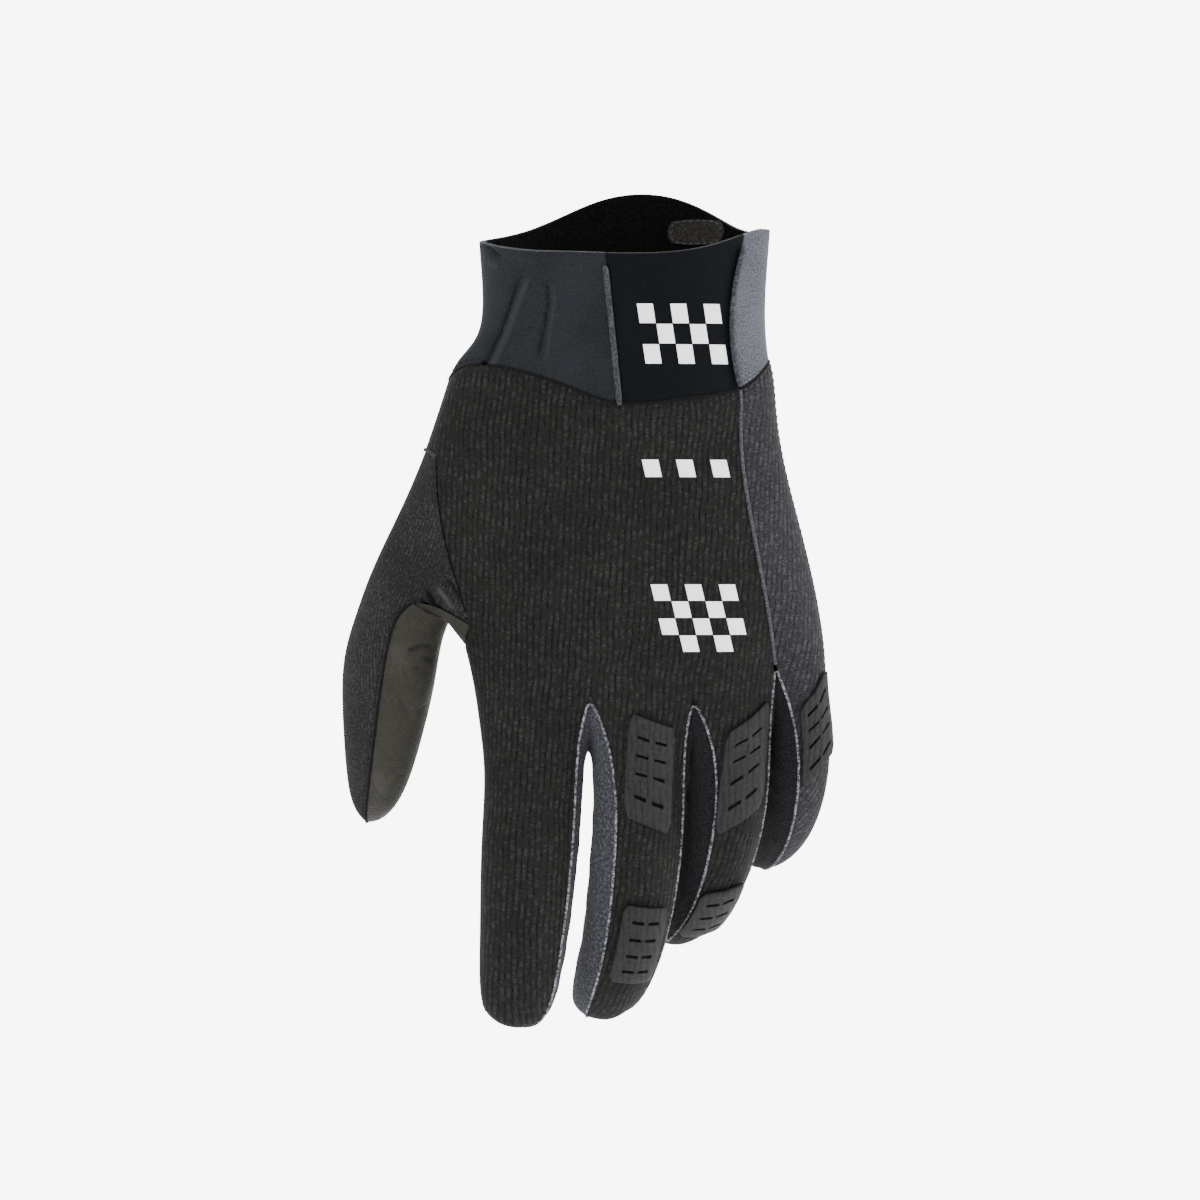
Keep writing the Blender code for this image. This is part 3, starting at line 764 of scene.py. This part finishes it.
def slack(panel, swell, deepest):
    """Lets a strip's cloth belly out between its seams, most of all up in the crotch."""
    mesh = panel.data
    points, _ = rim_of(mesh)
    tree = point_tree([spot for spot, _ in points.values()])
    side = {}
    for face in mesh.polygons:
        if face.material_index != EDGE:
            for vertex in face.vertices:
                side[vertex] = 1 if face.material_index == FACE else -1
    normals = [vertex.normal.copy() for vertex in mesh.vertices]
    crotch = max(vertex.co.z for vertex in mesh.vertices)
    for index, way in side.items():
        vertex = mesh.vertices[index]
        gap = min(1, tree.find(vertex.co)[2] / (3.5 * MM))
        near = max(0.0, 1 - (crotch - vertex.co.z) / (42 * MM))
        ripple = 0.25 * MM * noise.noise(vertex.co / (5 * MM))
        rise = gap * gap * (3 - 2 * gap)
        reach = (swell + (deepest - swell) * near) * MM + ripple
        vertex.co += normals[index] * way * rise * reach


pale_fleece = speckled_fleece("pale_fleece", srgb(41, 42, 46), srgb(77, 78, 85))
# A darker copy of the same fleece, painted shade for the two deep crotches.
shaded_fleece = speckled_fleece("shaded_fleece", srgb(15, 15, 17), srgb(32, 33, 37))
for name, fleece, swell, deepest in (
    ("fork_index_middle", pale_fleece, 0.2, 0.5),
    ("fork_middle_ring", shaded_fleece, 0.3, 1.7),
    ("fork_ring_little", shaded_fleece, 0.3, 0.8),
):
    make_panel(name, fleece, 2, shape=lambda panel: slack(panel, swell, deepest))

# Cuff
# A pull-on cuff of thin pressed neoprene in four panels. The thumb side is grey heather with
# pressed folds, the back is smooth and near black, and the outer side is a lighter rolled strip.


def cuff_folds(panel):
    press(panel, ((523, 272), (512, 300), (499, 335), (486, 362), (468, 382)), 1.0, 0.9)
    press(panel, ((531, 276), (520, 304), (507, 338), (494, 364), (478, 384)), -0.6, 1.3)
    press(panel, ((547, 280), (548, 305), (543, 335), (537, 366)), 0.8, 0.8)
    press(panel, ((554, 282), (555, 306), (550, 337), (545, 370)), -0.35, 1.0)
    press(panel, ((485, 247), (493, 254), (504, 262)), 1.0, 0.9)
    press(panel, ((487, 262), (494, 266), (503, 272)), -0.5, 1.2)


def pressed_cloth(name, ground, fleck, mixed, roughness, depth=0.12, sheen=0.15, specular=0.14):
    finish, tree, shader = new_finish(name, roughness, sheen=sheen, specular=specular)
    spot = flat_spot(tree)
    mix = yarn_mix(tree, spot, 0.6, 18)
    colour = blend(tree, times(tree, mix.outputs["Fleck"], mixed), ground, fleck)
    colour = blend(tree, times(tree, mix.outputs["Patch"], 0.25), colour, fleck)
    # Painted shade in pressed folds, and the fleck colour as a painted highlight on raised ones.
    colour = folded(tree, colour, srgb(9, 10, 13), fleck)
    tree.links.new(colour, shader.inputs["Base Color"])
    relief(tree, shader, mix.outputs["Height"], depth * MM)
    return finish


cuff_heather = pressed_cloth(
    "cuff_heather", srgb(16, 18, 21), srgb(35, 38, 43), 0.6, 0.78, sheen=0.0,
)
cuff_smooth = pressed_cloth(
    "cuff_smooth", srgb(4, 6, 9), srgb(9, 12, 17), 0.4, 0.62, depth=0.05, sheen=0.0, specular=0.07,
)
cuff_roll = pressed_cloth(
    "cuff_roll", srgb(58, 60, 66), srgb(98, 100, 107), 0.8, 0.8, depth=0.18, sheen=0.02,
)
cuff_under = pressed_cloth("cuff_under", srgb(13, 15, 18), srgb(27, 30, 34), 0.6, 0.75, sheen=0.0)
for name, finish, shape in (
    ("cuff_thumb_side", cuff_heather, cuff_folds),
    ("cuff_back", cuff_smooth, None),
    ("cuff_outer_side", cuff_roll, None),
    ("cuff_front", cuff_under, None),
):
    make_panel(name, finish, 3 if shape else 2, bevel=0.5, shape=shape)

# Cuff welts
# Two narrow welts cover the joints beside the smooth back panel. Each is a pressed ridge of the
# same neoprene, coloured paler all over as a painted highlight for the light along its crown.
welt_finish = plain_finish(
    "welt_rubber", srgb(22, 24, 28), srgb(58, 62, 67), 0.6, grain=0.8, depth=0.1, specular=0.25,
)
for node in ("cuff_welt_thumb_side", "cuff_welt_outer_side"):
    welt = merged_copy(node, "ridge")
    modify(welt, "soft", "SUBSURF", levels=1, render_levels=1)
    bpy.ops.object.shade_smooth()
    welt.data.materials.append(welt_finish)
    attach(welt, "root")
    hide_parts(node)

# Seams
# Every joint between two panels is closed by the seam allowance folded behind it. Along the
# fingers a narrow raised piping stands in the joint, coloured pale as a painted highlight on the
# seam ridge, and the other joints stay as dark lines.


def joints(first, second, reach=1.1):
    """The runs along which two panels' edges lie side by side, as mid points with normals."""
    if len(rims[first][0]) > len(rims[second][0]):
        first, second = second, first
    points, links = rims[first]
    others = list(rims[second][0].values())
    if not others or not points:
        return []
    tree = point_tree([spot for spot, _ in others])
    near = {}
    for key, (spot, normal) in points.items():
        _, index, gap = tree.find(spot)
        if gap < reach * MM and normal.dot(others[index][1]) > -0.2:
            near[key] = ((spot + others[index][0]) / 2, (normal + others[index][1]).normalized())
    runs, used = [], set()
    starts = [key for key in near if sum(other in near for other in links[key]) < 2] + list(near)
    for start in starts:
        if start in used:
            continue
        run, key = [], start
        while key is not None:
            used.add(key)
            run.append(near[key])
            key = next((other for other in links[key] if other in near and other not in used), None)
        if len(run) > 3:
            runs.append(run)
    return runs


def even(run, step):
    """A run resampled at even steps, lightly smoothed."""
    for _ in range(2):
        run = [run[0]] + [
            ((a[0] + b[0] * 2 + c[0]) / 4, (a[1] + b[1] * 2 + c[1]).normalized())
            for a, b, c in zip(run, run[1:], run[2:])
        ] + [run[-1]]
    lengths = [0]
    for a, b in zip(run, run[1:]):
        lengths.append(lengths[-1] + (b[0] - a[0]).length)
    count = max(2, round(lengths[-1] / (step * MM)))
    result, index = [], 0
    for number in range(count + 1):
        want = lengths[-1] * number / count
        while index < len(run) - 2 and lengths[index + 1] < want:
            index += 1
        span = lengths[index + 1] - lengths[index]
        share = (want - lengths[index]) / span if span > 0 else 0
        result.append((
            run[index][0].lerp(run[index + 1][0], share),
            run[index][1].lerp(run[index + 1][1], share).normalized(),
        ))
    return result


def piping(name, runs, radius, lift, finish):
    """Round piping along runs of points, one tube each, raised or sunk along the normals."""
    curve = bpy.data.curves.new(name, "CURVE")
    curve.dimensions = "3D"
    curve.bevel_depth = radius * MM
    curve.bevel_resolution = 2
    curve.use_fill_caps = True
    for run in runs:
        points = even(run, 1.2)
        spline = curve.splines.new("POLY")
        spline.points.add(len(points) - 1)
        for point, (spot, normal) in zip(spline.points, points):
            point.co = (*(spot + normal * lift * MM), 1)
    piece = bpy.data.objects.new(name, curve)
    bpy.context.scene.collection.objects.link(piece)
    activate(piece)
    bpy.ops.object.convert(target="MESH")
    piece = bpy.context.active_object
    bpy.ops.object.shade_smooth()
    piece.data.materials.clear()
    piece.data.materials.append(finish)
    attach(piece, "root")


seam_black = plain_finish("seam_black", srgb(7, 7, 8), srgb(16, 16, 17), 0.9)
# The raised piping is real; its pale colour is a painted highlight on the seam ridge.
pipe_highlight = plain_finish(
    "pipe_highlight", srgb(44, 45, 48), srgb(140, 142, 148), 0.75, grain=0.9, depth=0.2,
)
pipe_grey = plain_finish("pipe_grey", srgb(46, 46, 50), srgb(82, 82, 88), 0.75, depth=0.12)

pairs = {}
for index, first in enumerate(PANELS):
    for second in PANELS[index + 1:]:
        runs = joints(first, second)
        if runs:
            pairs[first, second] = runs
all_runs = [run for runs in pairs.values() for run in runs]
piping("seam_fold", all_runs, 0.55, -0.75, seam_black)


def between(first, second):
    return pairs.get((first, second)) or pairs.get((second, first)) or []


piping("leather_line", between("thumb_back", "thumb_front"), 0.5, -0.12, seam_black)
cuff_rows = []
for hand_panel in ("backhand", "outer_side", "palm", "thumb_back"):
    for cuff_panel in ("cuff_thumb_side", "cuff_back", "cuff_outer_side", "cuff_front"):
        cuff_rows += between(hand_panel, cuff_panel)
piping("cuff_line", cuff_rows, 0.48, -0.1, seam_black)

finger_runs, palm_runs = [], []
for fork in ("fork_index_middle", "fork_middle_ring", "fork_ring_little"):
    finger_runs += between("backhand", fork) + between("outer_side", fork)
    palm_runs += between("palm", fork)
piping("finger_piping", finger_runs, 0.38, 0.08, pipe_highlight)
piping("palm_piping", palm_runs, 0.34, 0.0, pipe_grey)
piping("side_piping", between("backhand", "outer_side"), 0.5, 0.05, pipe_grey)
thumb_cord = plain_finish("thumb_cord", srgb(28, 28, 28), srgb(58, 58, 58), 0.85, depth=0.15)
piping("thumb_piping", between("backhand", "thumb_back"), 0.6, -0.22, thumb_cord)

# Stitching
# Lockstitch rows hold the seams: black thread along the thumb, its leather and the cuff, and
# grey thread beside the side seam of the palm.
surface = search_tree(panel.data for panel in panels.values())
bpy.ops.object.select_all(action="DESELECT")
bpy.ops.mesh.primitive_uv_sphere_add(segments=6, ring_count=4, radius=0.5)
stitch_form = bpy.context.active_object
corners = sorted(stitch_form.data.vertices, key=lambda vertex: vertex.co.to_tuple(4))
order = {vertex.index: place for place, vertex in enumerate(corners)}
stitch_points = [vertex.co.copy() for vertex in corners]
stitch_faces = []
for face in stitch_form.data.polygons:
    ring = [order[corner] for corner in face.vertices]
    first = ring.index(min(ring))
    stitch_faces.append(ring[first:] + ring[:first])
stitch_faces.sort()
bpy.data.objects.remove(stitch_form)


def stitches(name, rows, finish, pitch=2.2, length=1.5, width=0.45, aside=0.0, lift=0.05):
    """A row of single stitches beside each run, laid on the surface."""
    points, faces = [], []
    for run in rows:
        line = even(run, pitch)
        for index in range(len(line) - 1):
            spot = (line[index][0] + line[index + 1][0]) / 2
            along = (line[index + 1][0] - line[index][0]).normalized()
            normal = (line[index][1] + line[index + 1][1]).normalized()
            side = along.cross(normal).normalized()
            spot = spot + side * aside * MM
            place, face_normal, _, gap = surface.find_nearest(spot, 3 * MM)
            if place is None or face_normal.dot(normal) < 0.3:
                continue
            if aside:
                spot, normal = place, face_normal
            side = along.cross(normal).normalized()
            along = normal.cross(side).normalized()
            start = len(points)
            for point in stitch_points:
                points.append(
                    spot + along * point.x * length * MM + side * point.y * width * MM
                    + normal * (point.z * width * 0.8 + lift) * MM
                )
            faces += [[start + corner for corner in face] for face in stitch_faces]
    mesh = bpy.data.meshes.new(name)
    mesh.from_pydata(points, [], faces)
    piece = bpy.data.objects.new(name, mesh)
    bpy.context.scene.collection.objects.link(piece)
    activate(piece)
    bpy.ops.object.mode_set(mode="EDIT")
    bpy.ops.mesh.select_all(action="SELECT")
    bpy.ops.mesh.normals_make_consistent(inside=False)
    bpy.ops.object.mode_set(mode="OBJECT")
    bpy.ops.object.shade_smooth()
    mesh.materials.append(finish)
    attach(piece, "root")


thread_black = plain_finish("thread_black", srgb(8, 8, 9), srgb(20, 20, 22), 0.7, grain=0.3)
thread_grey = plain_finish("thread_grey", srgb(58, 58, 60), srgb(92, 92, 96), 0.65, grain=0.3)
stitches(
    "thumb_stitches", between("backhand", "thumb_back"), thread_black, pitch=2.6,
    length=1.35, width=1.15, lift=0.32,
)
stitches(
    "leather_stitches", between("thumb_back", "thumb_front"), thread_black,
    pitch=1.9, length=1.3, width=0.35, aside=1.3,
)
side_rows = between("palm", "outer_side") + between("palm", "backhand")
stitches(
    "palm_stitches", side_rows, thread_grey, pitch=2.1, length=1.4, width=0.38, aside=1.4,
)
stitches(
    "cuff_stitches", cuff_rows, thread_black, pitch=2.4, length=1.6, width=0.4,
    aside=1.6,
)

# Vent patches
# Soft grey rubber is printed on the knuckles and fingers as thin plates, each with two rows of
# slanted slits cut through. A black sheet laid under the slits is painted shade, so they read dark.
vent_rubber, vent_tree, vent_shader = new_finish("vent_rubber", 0.62, specular=0.14)
vent_spot = object_spot(vent_tree)
vent_rib = use_effect(vent_tree, broken_rib, {"Vector": put(vent_tree, "ShaderNodeCombineXYZ", {
    0: put(vent_tree, "ShaderNodeSeparateXYZ", {0: vent_spot}).outputs[0],
    1: put(vent_tree, "ShaderNodeSeparateXYZ", {0: vent_spot}).outputs[2],
}).outputs[0], "Pitch": 1.75 * MM, "Dash": 5 * MM, "Wander": 0.3})
vent_mix = yarn_mix(vent_tree, vent_spot, 1.2, 7)
vent_colour = blend(vent_tree, vent_rib.outputs["Rib"], srgb(9, 9, 9), srgb(29, 30, 29))
vent_colour = blend(
    vent_tree, times(vent_tree, vent_mix.outputs["Fleck"], 0.2), vent_colour, srgb(52, 53, 52),
)
vent_tree.links.new(vent_colour, vent_shader.inputs["Base Color"])
relief(vent_tree, vent_shader, vent_rib.outputs["Height"], 0.12 * MM)
# Painted shade: a near black sheet under each pad's slits.
slit_shade = plain_finish("slit_shade", srgb(5, 5, 5), srgb(12, 12, 12), 0.9, grain=0.4, depth=0.2)
for node in (
    "knuckle_pad_middle", "knuckle_pad_ring", "knuckle_pad_little", "finger_pad_middle",
    "finger_pad_ring",
):
    plate = merged_copy(node, "plate", quads=False)
    slit_shade_data = plate.data.copy()
    round_edges(plate, 0.1, 50)
    bpy.ops.object.shade_smooth_by_angle(angle=math.radians(35))
    plate.data.materials.append(vent_rubber)
    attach(plate, "root")
    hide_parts(node)

    bm = bmesh.new()
    bm.from_mesh(slit_shade_data)
    bm.normal_update()
    outer = [face for face in bm.faces if face.normal.y < 0]
    away = sum((face.normal * face.calc_area() for face in outer), Vector()).normalized()
    front_and_rim = [face for face in bm.faces if face.normal.dot(away) > -0.45]
    bmesh.ops.delete(bm, geom=front_and_rim, context="FACES")
    open_edges = [edge for edge in bm.edges if edge.is_boundary]
    loops, used = [], set()
    for edge in open_edges:
        if edge in used:
            continue
        loop, queue = [], [edge]
        used.add(edge)
        while queue:
            here = queue.pop()
            loop.append(here)
            for vertex in here.verts:
                for other in vertex.link_edges:
                    if other.is_boundary and other not in used:
                        used.add(other)
                        queue.append(other)
        loops.append(loop)
    loops.sort(key=lambda loop: -sum(edge.calc_length() for edge in loop))
    for loop in loops[1:]:
        bmesh.ops.contextual_create(bm, geom=loop)
    bmesh.ops.triangulate(bm, faces=[face for face in bm.faces if len(face.verts) > 4])
    bmesh.ops.recalc_face_normals(bm, faces=bm.faces)
    bm.normal_update()
    if sum((face.normal * face.calc_area() for face in bm.faces), Vector()).dot(away) > 0:
        bmesh.ops.reverse_faces(bm, faces=bm.faces)
    slit_shade_data.clear_geometry()
    bm.to_mesh(slit_shade_data)
    bm.free()
    # The sheet is painted shade under the slits, named after its pad.
    slit_shade_piece = bpy.data.objects.new(f"{node}_mesh", slit_shade_data)
    bpy.context.scene.collection.objects.link(slit_shade_piece)
    activate(slit_shade_piece)
    modify(slit_shade_piece, "thick", "SOLIDIFY", thickness=0.22 * MM, offset=1)
    slit_shade_piece.data.materials.clear()
    slit_shade_piece.data.materials.append(slit_shade)
    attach(slit_shade_piece, "root")

# Palm patches and cuff label
# Two patches of the olive leather are sewn on where the grip rubs, one on the heel of the hand
# and one below the thumb. A blank woven label is sewn inside the back of the cuff.


def sewn_patch(name, across, aim, centre, half, finish, power):
    """A thin patch with rounded corners, laid on the surface and stitched round."""
    bpy.ops.object.select_all(action="DESELECT")
    bpy.ops.mesh.primitive_grid_add(x_subdivisions=26, y_subdivisions=26, size=2)
    piece = bpy.context.active_object
    piece.name = name
    up = across.cross(aim).normalized()

    def laid(u, v):
        x = u * (1 - power * v * v) ** 0.5
        y = v * (1 - power * u * u) ** 0.5
        start = centre + across * x * half[0] * MM + up * y * half[1] * MM - aim * 60 * MM
        spot, normal, _, _ = surface.ray_cast(start, aim, 0.2)
        if spot is None:
            spot, normal, _, _ = surface.find_nearest(start + aim * 60 * MM)
        if normal.dot(aim) > 0:
            normal = -normal
        return spot, normal

    for vertex in piece.data.vertices:
        spot, normal = laid(vertex.co.x, vertex.co.y)
        vertex.co = spot + normal * 0.2 * MM
    if sum((face.normal for face in piece.data.polygons), Vector()).dot(aim) > 0:
        piece.data.flip_normals()
    flat = piece.data.uv_layers.active
    flat.name = "flat"
    for corner in flat.data:
        corner.uv = corner.uv * 2 * half[1] * MM
    modify(piece, "thick", "SOLIDIFY", thickness=0.5 * MM, offset=0.2)
    round_edges(piece, 0.16, 50)
    bpy.ops.object.shade_smooth_by_angle(angle=math.radians(40))
    piece.data.materials.clear()
    piece.data.materials.append(finish)
    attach(piece, "root")
    turns = [math.tau * step / 120 for step in range(121)]
    ring = [(math.cos(turn), math.sin(turn)) for turn in turns]
    loop = []
    for c, s in ring:
        reach = max(abs(c), abs(s))
        spot, normal = laid(c / reach * 0.9, s / reach * 0.9)
        loop.append((spot + normal * 0.5 * MM, normal))
    stitches(
        f"{name}_stitches", [loop], thread_grey, pitch=2.0, length=1.4, width=0.36, lift=0.05,
    )


olive_patch = soft_leather("olive_patch", srgb(34, 33, 27), srgb(50, 48, 41), mottled=0.3)
for name, place, half in (
    ("heel_patch", (22, 0, -76), (15, 27)),
    ("saddle_patch", (-22, 0, -84), (13, 22)),
):
    across, aim = Vector((1, 0, 0)), Vector((0, -1, 0))
    sewn_patch(name, across, aim, Vector(place) * MM, half, olive_patch, 0.35)
label_cloth = plain_finish(
    "label_cloth", srgb(30, 29, 27), srgb(52, 51, 48), 0.9, grain=0.6, depth=0.15,
)
label_place = in_picture(697, 229)
sewn_patch(
    "blank_label", Vector((1, 0, 0)), VIEW, label_place, (8, 3.6), label_cloth, 0.3,
)

# Printed blocks
# White rubber ink is printed on the cuff and the back of the hand as slanted racing blocks, a
# plain pattern, laid on thin and slightly proud of the cloth.
print_white, print_tree, print_shader = new_finish("print_white", 0.5, specular=0.25)
print_mix = use_effect(
    print_tree, leather_grain,
    {"Vector": object_spot(print_tree), "Cell": 0.9 * MM, "Crease": 7 * MM},
)
print_colour = blend(
    print_tree, times(print_tree, print_mix.outputs["Crease"], 0.12), srgb(252, 252, 252),
    srgb(205, 205, 203),
)
print_tree.links.new(print_colour, print_shader.inputs["Base Color"])
relief(print_tree, print_shader, print_mix.outputs["Height"], 0.05 * MM)
PRINTS = (
    ("cuff_print", "cuff_back", 636, 306, 5, 3, 16.5, 20, 3),
    ("wrist_print", "backhand", 641, 460, 5, 1, 17, 18, 4),
    ("hand_print", "backhand", 650, 584, 5, 4, 17, 17, 4),
)
INK_SHARE = 0.96
for name, slot, left, top, columns, rows, wide, high, lean in PRINTS:
    bpy.ops.object.select_all(action="DESELECT")
    blocks = []
    for row in range(rows):
        for column in range(columns):
            if (row + column) % 2:
                continue
            bpy.ops.mesh.primitive_grid_add(x_subdivisions=6, y_subdivisions=6, size=1)
            block = bpy.context.active_object
            for vertex in block.data.vertices:
                px = left + (column + 0.5 + vertex.co.x * INK_SHARE) * wide
                py = top + (row + 0.5 - vertex.co.y * INK_SHARE) * high
                px += (py - top) / high * lean
                spot, _ = seen(px, py)
                place, normal, _, _ = surface.ray_cast(spot - VIEW * 0.05, VIEW, 0.2)
                vertex.co = place + normal * 0.12 * MM
            blocks.append(block)
    for block in blocks:
        block.select_set(True)
    bpy.context.view_layer.objects.active = blocks[0]
    bpy.ops.object.join()
    piece = bpy.context.active_object
    piece.name = name
    bpy.ops.object.mode_set(mode="EDIT")
    bpy.ops.mesh.select_all(action="SELECT")
    bpy.ops.mesh.normals_make_consistent(inside=False)
    bpy.ops.object.mode_set(mode="OBJECT")
    if sum((face.normal for face in piece.data.polygons), Vector()).dot(VIEW) > 0:
        piece.data.flip_normals()
    modify(piece, "thick", "SOLIDIFY", thickness=0.3 * MM, offset=-0.3)
    round_edges(piece, 0.1, 50)
    bpy.ops.object.shade_smooth_by_angle(angle=math.radians(40))
    piece.data.materials.clear()
    piece.data.materials.append(print_white)
    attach(piece, "root")
